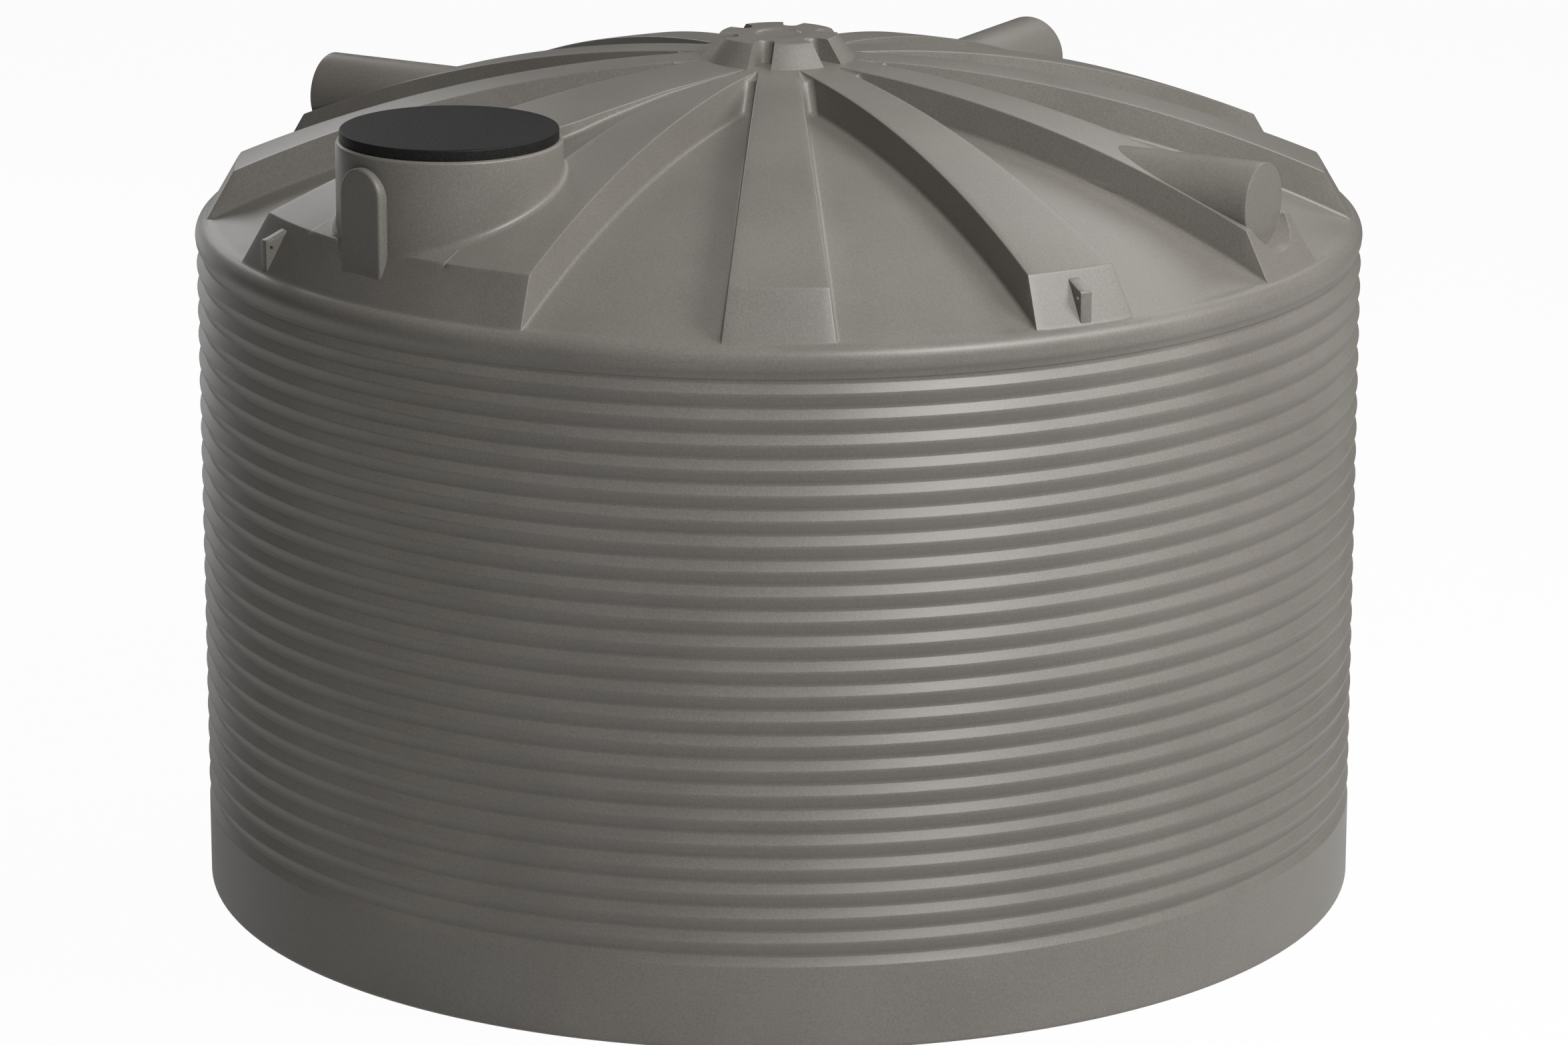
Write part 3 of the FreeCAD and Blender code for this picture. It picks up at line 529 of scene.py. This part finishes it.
def pocket(gap_turn, first_rim):
    """The roof inside the hub radius, between two ribs' middles: lines run in along one rib, around
    the half-round of the pocket and out along the other. From the point where the ribs meet a flute
    opens towards the pocket, half of a level cone that reaches the two ribs' edges."""
    legs = len(hub_leg)
    half_round = np.linspace(np.pi / 2 + gap_slope, 3 * np.pi / 2 - gap_slope, bow_columns)
    inwards = np.linspace(0, 1, legs)
    flute_start = ribs_meet(rib_apex)
    bow_setback = pocket_round / np.sin(gap_slope)
    pocket_distance = 340.0

    def top_of(along, across):
        """The rib dome, with the flute cut into it."""
        height = dome(rib_dome_radius, np.hypot(along, across))
        reach = (along - flute_start) * np.tan(gap_slope)
        groove = dome(rib_dome_radius, flute_start) - np.sqrt(np.maximum(reach**2 - across**2, 0))
        return np.where(np.abs(across) < reach, np.minimum(height, groove), height)

    corner = flute_start + bow_setback + pocket_round * np.cos(half_round)
    bow_top = top_of(corner, pocket_round * np.sin(half_round))
    bow = slice(legs, legs + bow_columns)

    def leg_turn(radius, height, offset):
        """Turn from the gap's middle to a line along a rib's side."""
        return half_spacing - np.arcsin((rib_side(radius, height) - offset) / radius)

    def line_at(line):
        """Distance, turn and height along one line; its height depends on its place, so the two
        are worked out in turn until they settle."""
        top = np.full(2 * legs + bow_columns, rib_top(330.0))
        floor = panel_floor(pocket_distance)
        for _ in range(12):
            top[bow] = bow_top
            offset, height = side_line(top, floor, line)
            offset = offset + np.zeros(len(height))
            middle = ribs_meet(height) + bow_setback
            bow_along = middle[bow] + (pocket_round + offset[bow]) * np.cos(half_round)
            bow_across = (pocket_round + offset[bow]) * np.sin(half_round)
            end = np.hypot(bow_along[0], bow_across[0])
            radius = hub_radius + (end - hub_radius) * inwards
            turn = leg_turn(radius, height[:legs], offset[:legs])
            back = leg_turn(radius, height[::-1][:legs], offset[::-1][:legs])
            along = np.concatenate([radius * np.cos(turn), bow_along, (radius * np.cos(back))[::-1]])
            across = np.concatenate([radius * np.sin(turn), bow_across, (-radius * np.sin(back))[::-1]])
            top = dome(rib_dome_radius, np.hypot(along, across))
            floor = panel_floor(np.hypot(along, across))
        return np.hypot(along, across), np.arctan2(across, along), height

    lines = [line_at(line) for line in range(side_lines)]
    edge_radius, edge_turn, _ = lines[0]
    foot_radius, foot_turn, _ = lines[-1]
    rim_radius = np.concatenate([hub_leg, np.full(bow_columns, skirt_radius), hub_leg[::-1]])
    rim_turn = np.concatenate([
        first_rim,
        np.linspace(first_rim[-1], -half_spacing, bow_columns),
        np.full(legs, -half_spacing),
    ])
    in_bow = np.zeros(len(rim_turn), bool)
    in_bow[bow] = True
    middle_leg = hub_radius + (foot_radius[legs] - hub_radius) * inwards
    foot_middle = ribs_meet(panel_floor(pocket_distance)) + bow_setback
    middle_radius = np.concatenate([middle_leg, np.full(bow_columns, foot_middle), middle_leg[::-1]])
    rows = []
    for row in range(top_columns):
        share = row / top_columns
        radius = rim_radius + share * (edge_radius - rim_radius)
        turn = rim_turn + share * (edge_turn - rim_turn)
        inner = min(row / 2, 1)
        outer = max((row - 2) / (top_columns - 2), 0)
        along = (skirt_radius * np.cos(rim_turn) * (1 - inner) + flute_start * inner) * (1 - outer)
        along = along + edge_radius * np.cos(edge_turn) * outer
        across = skirt_radius * np.sin(rim_turn) * (1 - inner) * (1 - outer)
        across = across + edge_radius * np.sin(edge_turn) * outer
        radius = np.where(in_bow, np.hypot(along, across), radius)
        turn = np.where(in_bow, np.arctan2(across, along), turn)
        fluted = top_of(radius * np.cos(turn), radius * np.sin(turn))
        rows.append((radius, turn, np.where(in_bow, fluted, dome(rib_dome_radius, radius))))
    rows += lines
    for share in np.linspace(0, 1, panel_columns + 1)[1:]:
        radius = foot_radius + share * (middle_radius - foot_radius)
        rows.append((radius, foot_turn * (1 - share), panel_floor(radius)))
    radius, turn, height = (np.array([row[part] for row in rows]) for part in range(3))
    return polar(radius, gap_turn - turn, height)


# The gap after rib 11 is the manhole's. Each other one is two halves and the pocket between them.
roof_grids = [manhole_gap()]
for rib in (1, 2, 3, 4, 5, 6, 7, 8, 9, 10, 12):
    left = rib_spacing * (rib - 1)
    turn, height = half_gap(rib in stub_ribs)
    roof_grids.append(polar(row_radius, left + turn, height))
    turn, height = half_gap(rib + 1 in stub_ribs)
    roof_grids.append(polar(row_radius, left + rib_spacing - turn, height))
    rim = -half_spacing - rib_middle(hub_leg) if rib == 12 else np.full(len(hub_leg), half_spacing)
    roof_grids.append(pocket(left + half_spacing, rim))

roof = surface(
    "tank_roof", *roof_grids, sharp=40, outwards=(0, 0, 1), bore=(*neck_centre, bore_radius))
roof.data.materials.append(tank_plastic)
thickness = roof.modifiers.new("shell_thickness", "SOLIDIFY")
thickness.thickness = shell_thickness * millimetre
thickness.offset = -1
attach(roof, "tank")
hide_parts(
    "manhole_platform",
    *[f"roof_rib_{number:02d}" for number in range(1, 13)],
    *[f"roof_panel_{number:02d}" for number in range(1, 12)])


# Crown: the low drafted cap where the ribs meet, moulded in one with them in the same plastic. Six
# rounded notches are let into its skirt down to the rib dome, and its top has a shallow dish.

crown_radius = 236.0
crown_top_radius = 180.0
crown_seat_radius = 222.0
crown_height = 69.5
crown_top = dome(rib_dome_radius, crown_seat_radius) + crown_height
crown_rise = 2.0
dish_radius = 66.0
dish_depth = 5.0
notch_round = 27.0
notch_end = 152.0
notch_foot_round = 20.0
notch_foot_end = 165.0


def crown_outline(rim, bend_radius, bend_middle):
    """The crown's outline at a rim radius, one sixth of it: half a lobe, in along a notch's side,
    round its end, out again, and half a lobe; radius and turn from the notch's middle."""
    across = bend_radius * np.cos(gap_slope)
    along = bend_middle - bend_radius * np.sin(gap_slope)
    slope = np.tan(gap_slope)
    start = across - slope * along
    rim_along = (-start * slope + np.sqrt(rim**2 * (1 + slope**2) - start**2)) / (1 + slope**2)
    rim_turn = np.arctan2(start + slope * rim_along, rim_along)
    lobe = np.linspace(np.radians(30), rim_turn, 9)[:-1]
    side_x = np.linspace(rim_along, along, 7)
    side_y = start + slope * side_x
    bow = np.linspace(np.pi / 2 + gap_slope, np.pi, 11)[1:]
    half_x = np.concatenate([rim * np.cos(lobe), side_x, bend_middle + bend_radius * np.cos(bow)])
    half_y = np.concatenate([rim * np.sin(lobe), side_y, bend_radius * np.sin(bow)])
    x = np.concatenate([half_x, half_x[-2::-1]])
    y = np.concatenate([half_y, -half_y[-2::-1]])
    return np.hypot(x, y), np.arctan2(y, x)


def crown_top_height(radius):
    """From the dish's edge the top falls in a straight line to its rim."""
    dish_edge = dish_radius + dish_depth
    share = np.clip((radius - dish_edge) / (crown_top_radius - dish_edge), 0, 1)
    dish = np.clip((dish_edge - radius) / dish_depth, 0, 1) * dish_depth
    return crown_top + crown_rise - crown_rise * share - dish


# Rings of the cap: the dish, the top, its edge, which is rounder at the notches' ends, and the
# skirt down to just under the rib dome.
top_radius, top_turn = crown_outline(crown_top_radius, notch_round, notch_end)
foot_radius, foot_turn = crown_outline(crown_radius, notch_foot_round, notch_foot_end)
crown_lines = []
for ring in (0.0, 40.0, dish_radius - 1, dish_radius + 1, dish_radius + 4, dish_radius + 7):
    radius = np.full(len(top_radius), ring)
    crown_lines.append((radius, top_turn, crown_top_height(radius)))
for share in (0.3, 0.6, 0.85):
    radius = dish_radius + 7 + (top_radius - dish_radius - 7) * share
    crown_lines.append((radius, top_turn, crown_top_height(radius)))
top_edge = crown_top_height(top_radius)
foot_edge = dome(rib_dome_radius, foot_radius) - 1
edge_round = 1 + 2 * ease((notch_end + 15 - top_radius) / 30)
for pull, fall in ((3.0, 0.0), (0.9, 0.3), (0.25, 1.0), (0.0, 3.0)):
    share = fall * edge_round / (top_edge - foot_edge)
    radius = top_radius + (foot_radius - top_radius) * share - pull * edge_round
    crown_lines.append((radius, top_turn + (foot_turn - top_turn) * share, top_edge - fall * edge_round))
for share in (0.35, 0.65, 0.9, 1.0):
    crown_lines.append((
        top_radius + (foot_radius - top_radius) * share,
        top_turn + (foot_turn - top_turn) * share,
        top_edge + (foot_edge - top_edge) * share,
    ))
radius, turn, height = (np.array([line[part] for line in crown_lines]) for part in range(3))
crown = surface(
    "roof_cap", *[polar(radius, np.radians(60 * notch - 15) - turn, height) for notch in range(6)],
    sharp=35, outwards=(0, 0, 1))
crown.data.materials.append(tank_plastic)
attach(crown, "tank")
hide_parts("roof_crown")


# Manhole neck: an upright collar of the same plastic, moulded on the two ribs and the web between
# them, with a small fillet at its foot, a rounded rim and a lip on which the lid rests.

neck_height = 160.6
neck_top = dome(rib_dome_radius, neck_position) + neck_height
throat_radius = 300.0
rim_round = 9.0
neck_foot = 22.0
foot_sink = 0.4
collar_sink = 14.0
collar_inside = neck_radius - shell_thickness


def deck(x, y):
    """Height of the roof near the manhole: the level of the ribs' tops, and inside the groove its
    floor or the side that is nearest."""
    distance = np.hypot(x, y)
    turn = np.arctan2(x, -y)
    top = np.where(distance < eave_radius, rib_top(np.minimum(distance, eave_radius)), eave_top)
    upper, lower = groove_edges(distance, top)
    within = np.minimum(turn - upper, lower - turn) * distance
    side = top - np.maximum(within, 0) / rib_draft
    return np.minimum(top, np.maximum(valley(np.minimum(distance, eave_radius)), side))


around = np.linspace(0, 2 * np.pi, 289)
outward_x, outward_y = np.sin(around), -np.cos(around)


def neck_ring(radius, height):
    """A ring about the manhole's axis; the height may vary around it."""
    return np.stack([
        neck_centre[0] + radius * outward_x,
        neck_centre[1] + radius * outward_y,
        height + 0 * around,
    ], -1)


def deck_ring(radius):
    """Height of the roof around such a ring."""
    return deck(neck_centre[0] + radius * outward_x, neck_centre[1] + radius * outward_y)


# Rings of the collar: the fillet, a curve of the second degree from the roof to the collar, the
# outer face, the rim, the throat, and the inner face down to below the roof's lowest point nearby.
neck_rings = []
wide = deck_ring(neck_radius + neck_foot)
close = deck_ring(neck_radius)
for share in np.linspace(0, 1, 6):
    rest = 1 - share
    fillet = wide * rest**2 + 2 * close * share * rest + (close + neck_foot) * share**2
    neck_rings.append(neck_ring(neck_radius + neck_foot * rest**2, fillet - foot_sink * rest))
for share in (0.25, 0.5, 0.75):
    face_height = close + neck_foot + (neck_top - rim_round - close - neck_foot) * share
    neck_rings.append(neck_ring(neck_radius, face_height))
for turn in np.radians(np.linspace(0, 90, 6)):
    rim_radius = neck_radius - rim_round + rim_round * np.cos(turn)
    neck_rings.append(neck_ring(rim_radius, neck_top - rim_round + rim_round * np.sin(turn)))
lowest = np.min([np.roll(close[:-1], shift) for shift in range(-6, 7)], axis=0) - collar_sink
lowest = np.append(lowest, lowest[0])
neck_rings += [
    neck_ring(throat_radius + 1, neck_top),
    neck_ring(throat_radius, neck_top - 1),
    neck_ring(throat_radius, neck_top - shell_thickness),
    neck_ring(collar_inside, neck_top - shell_thickness),
    neck_ring(collar_inside, lowest),
    neck_ring(neck_radius - 4, lowest),
]
neck = surface("manhole_collar", np.array(neck_rings + neck_rings[:1]), sharp=40)
neck.data.materials.append(tank_plastic)
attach(neck, "tank")
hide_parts("manhole_neck")


# Arched pad: a flat boss with a half-round top on the collar's outer side, moulded in one with
# it and running down onto the web's end slope. Its back stays inside the collar's wall.

pad_half_width = 86.0
pad_thickness = 20.0
pad_face = neck_position + neck_radius + pad_thickness
pad_spring = neck_top - 121.0
pad_round = 9.0
pad_foot = eave_top + 12.0
pad_sink = 5.0


def facing(turn, outward, across, up):
    """Points from how far each lies outward along a turn, how far across it, and its height."""
    return np.stack([
        outward * np.sin(turn) + across * np.cos(turn),
        -outward * np.cos(turn) + across * np.sin(turn),
        up,
    ], -1)


def pad_outline(inset):
    """Across and up along the pad's arch, from one foot over the top to the other, drawn in."""
    reach = pad_half_width - inset
    arch = np.linspace(0, np.pi, 31)
    leg = np.linspace(0, 1, 12)[:-1] * (pad_spring - pad_foot) + pad_foot
    return (np.concatenate([np.full(len(leg), reach), reach * np.cos(arch), np.full(len(leg), -reach)]),
            np.concatenate([leg, pad_spring + reach * np.sin(arch), leg[::-1]]))


pad_bends = np.radians([18, 36, 54, 72, 90])
across, up = pad_outline(0.0)
pad_lines = [(across, neck_position + np.sqrt((neck_radius - pad_sink) ** 2 - across**2), up)]
for inset, outward in (
    [(0.0, -pad_round)]
    + [(pad_round * (1 - np.cos(turn)), pad_round * (np.sin(turn) - 1)) for turn in pad_bends]
    + [(pad_half_width * share, 0.0) for share in (0.3, 0.6, 1.0)]
):
    across, up = pad_outline(inset)
    pad_lines.append((across, np.full(len(across), pad_face + outward), up))
across, outward, up = (np.array([line[part] for line in pad_lines]) for part in range(3))
pad = surface(
    "manhole_boss", facing(neck_turn, outward, across, up), sharp=40,
    outwards=(np.sin(neck_turn), -np.cos(neck_turn), 0.5))
pad.data.materials.append(tank_plastic)
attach(pad, "tank")
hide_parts("manhole_arch_pad")


# Lid: a separate black moulding in polyethylene with a flat top, a rounded edge and a spigot that
# drops into the manhole's throat. It rests loose on the rim and lifts straight off.

lid_radius = 323.0
lid_height = 33.5
lid_top = neck_top + lid_height
lid_seat = neck_top + 0.3
lid_wall = 6.0
lid_edge = 5.0
spigot_radius = 295.0
spigot_inside = spigot_radius - lid_wall
spigot_foot = neck_top - 40.0
edge_turn = np.radians(np.linspace(90, 0, 6))
lid_line = np.concatenate([
    [(0.0, lid_top), (120.0, lid_top), (240.0, lid_top), (lid_radius - 12, lid_top)],
    np.column_stack([
        lid_radius - lid_edge + lid_edge * np.cos(edge_turn),
        lid_top - lid_edge + lid_edge * np.sin(edge_turn),
    ]),
    [(lid_radius, lid_seat + 1), (lid_radius - 1, lid_seat), (spigot_radius, lid_seat)],
    [(spigot_radius, spigot_foot + 1), (spigot_radius - 1, spigot_foot), (spigot_inside, spigot_foot)],
    [(spigot_inside, lid_top - lid_wall), (0.0, lid_top - lid_wall)],
])
lid_plastic = polyethylene(
    "lid_plastic", (0.002, 0.0019, 0.0017), (0.015, 0.0143, 0.0135), 0.6, texture=0.45)
lid_plastic.node_tree.nodes["Principled BSDF"].inputs["Specular IOR Level"].default_value = 0.28
lid = surface("manhole_cover", turned(lid_line, 144, neck_centre), sharp=40)
lid.data.materials.append(lid_plastic)
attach(lid, "lid")
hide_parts("manhole_lid")


# Inlet stubs: three closed level tubes moulded on top of ribs, each with a flat face that is cut
# out on site. In front of the face the tube runs on as a scoop in the rib's end slope.

stub_edge = 2.5
stub_root = np.sqrt(rib_dome_radius**2 - (stub_axis + stub_radius - roof_centre) ** 2) - 40
face_turn = np.radians(np.linspace(0, 90, 5))
stub_line = np.concatenate([
    [(0.0, stub_root), (stub_radius, stub_root)],
    [(stub_radius, along) for along in np.linspace(stub_root + 60, stub_face - 20, 8)],
    np.column_stack([
        stub_radius - stub_edge + stub_edge * np.cos(face_turn),
        stub_face - stub_edge + stub_edge * np.sin(face_turn),
    ]),
    [(60.0, stub_face), (0.0, stub_face)],
])
spin = np.linspace(0, 2 * np.pi, 97)
reach, along = stub_line.T[:, :, None]
for index, rib in enumerate(stub_ribs, start=1):
    grid = facing(
        np.radians(30.0 * (rib - 1)), along, reach * np.sin(spin), stub_axis + reach * np.cos(spin))
    stub = surface(f"inlet_tube_{index}", grid, sharp=40)
    stub.data.materials.append(tank_plastic)
    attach(stub, "tank")
    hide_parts(f"inlet_stub_{index}")


# Lifting lugs: four drilled plates moulded upright on the end slopes of ribs, each with a nearly
# level top, a rounded outer corner and a small hole for a shackle.

lug_thickness = 38.0
lug_setout = 9.0
lug_height = 97.0
lug_face = eave_radius + lug_setout
lug_top = eave_top + lug_height
lug_foot = eave_top - 12
lug_round = 10.0
lug_edge = 3.0
hole_radius = 6.0
hole_centre = np.array([lug_face - 17.0, lug_top - 19.0])


def lug_outline(inset):
    """Out and up around the plate: up the outer edge, round the corner, in along the top, then down
    behind the slope, and closed; drawn in by an inset."""
    corner_turn = np.radians(np.linspace(0, 70, 9))
    corner_middle = np.array([lug_face - lug_round, lug_top - lug_round * 0.7])
    reach = lug_round - inset
    top_out = np.linspace(lug_face - 20, lug_face - 90, 6)
    top_up = np.linspace(lug_top + 6, lug_top + 36, 6) - inset
    line = np.concatenate([
        np.column_stack([np.full(8, lug_face - inset), np.linspace(lug_foot, lug_top - lug_round, 8)]),
        corner_middle + reach * np.column_stack([np.cos(corner_turn), np.sin(corner_turn)]),
        np.column_stack([top_out, top_up]),
        np.column_stack([
            np.linspace(lug_face - 92, lug_face - 20, 6),
            np.linspace(lug_top + 24, lug_foot, 6),
        ]),
    ])
    return np.concatenate([line, line[:1]])


outline_full = lug_outline(0.0)
outline_in = lug_outline(lug_edge)
outline_bend = outline_full + (outline_in - outline_full) * 0.3
towards = outline_full - hole_centre
hole_line = hole_centre + hole_radius * towards / np.hypot(towards[:, 0], towards[:, 1])[:, None]
side = lug_thickness / 2
right_rings = [
    (hole_line, side),
    (hole_line + (outline_in - hole_line) * 0.5, side),
    (outline_in, side),
    (outline_bend, side - lug_edge * 0.3),
    (outline_full, side - lug_edge),
]
left_rings = [(line, -across) for line, across in right_rings]
lug_rings = left_rings + right_rings[::-1] + left_rings[:1]
lug_grids = []
for rib in (2, 5, 8, 11):
    turn = np.radians(30.0 * (rib - 1))
    lug_grids.append(np.array([
        facing(turn, line[:, 0], across, line[:, 1]) for line, across in lug_rings]))
lugs = surface("lifting_eyes", *lug_grids, sharp=40)
lugs.data.materials.append(tank_plastic)
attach(lugs, "tank")
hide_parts("lifting_lugs")


# Floor and light: a plain pale floor, an even pale surround and five soft lamps, high on the front
# right, the right and both sides behind, and one low behind on the left. The key lamp casts no
# shadow, because light as broad as the real one leaves hardly any between the ribs.

floor_reach = 60000.0
floor_gap = 0.5
floor_material, start, shader = new_material("pale_floor")
floor_tone = grain(start, 1.5).between(0.2, 0.8)
floor_tone.mixed((0.80, 0.80, 0.80, 1), (0.84, 0.84, 0.84, 1)).feeds(shader, "Base Color")
shader.inputs["Roughness"].default_value = 0.9
seen = start.node("LightPath", {}, 0)
glow = start.node("Emission", {}, Color=(1, 1, 1, 1), Strength=1.0)
bright = start.node("MixShader", {}, n0=seen * 0.96, n1=Value(start.tree, shader.outputs[0]), n2=glow)
bright.feeds(start.tree.nodes["Material Output"], "Surface")
reach = [-floor_reach, floor_reach]
ground = np.stack(np.meshgrid(reach, reach, indexing="ij"), -1)
ground = np.concatenate([ground, np.full((2, 2, 1), -floor_gap)], -1)
floor = surface("studio_floor", ground, outwards=(0, 0, 1))
floor.data.materials.append(floor_material)

world = bpy.data.worlds.new("surround")
bpy.context.scene.world = world
world.use_nodes = True
camera_ray = Value(world.node_tree).node("LightPath", {}, 0)
shade = world.node_tree.nodes["Background"]
shade.inputs["Color"].default_value = (1, 1, 1, 1)
(camera_ray * 0.90 + 0.10).feeds(shade, "Strength")

lamp_aim = np.array([0.0, 0.0, 1.2])


def soft_lamp(name, place, size, power):
    """A square lamp at a place in metres that faces the middle of the tank; returns its data."""
    lamp = bpy.data.lights.new(name, "AREA")
    lamp.shape = "RECTANGLE"
    lamp.size = size
    lamp.size_y = size
    lamp.energy = power
    item = bpy.data.objects.new(name, lamp)
    direction = lamp_aim - np.array(place, float)
    level = np.hypot(direction[0], direction[1])
    item.location = place
    item.rotation_euler = (np.arctan2(level, -direction[2]), 0, np.arctan2(-direction[0], direction[1]))
    bpy.context.scene.collection.objects.link(item)
    return lamp


soft_lamp("key", (4.46, -6.37, 8.98), 3.5, 775).use_shadow = False
soft_lamp("right", (7.31, -2.66, 8.98), 4.0, 410)
soft_lamp("back_right", (3.89, 6.74, 8.98), 4.0, 140)
soft_lamp("back_left", (-4.9, 9.6, 6.6), 4.0, 160)
soft_lamp("low_left", (-6.6, 8.6, 2.2), 4.0, 75)

# Camera: a long lens in front of the tank and above it, tilted down.
camera_tilt = 15.566
camera = bpy.data.cameras.new("camera")
camera.lens = 144.85
camera.sensor_width = 36.0
camera.shift_x = 0.00335
camera.clip_end = 200
viewpoint = bpy.data.objects.new("camera", camera)
viewpoint.location = (0, -19.093, 6.418)
viewpoint.rotation_euler = (np.radians(90 - camera_tilt), 0, 0)
bpy.context.scene.collection.objects.link(viewpoint)
bpy.context.scene.camera = viewpoint
bpy.context.scene.view_settings.view_transform = "Standard"
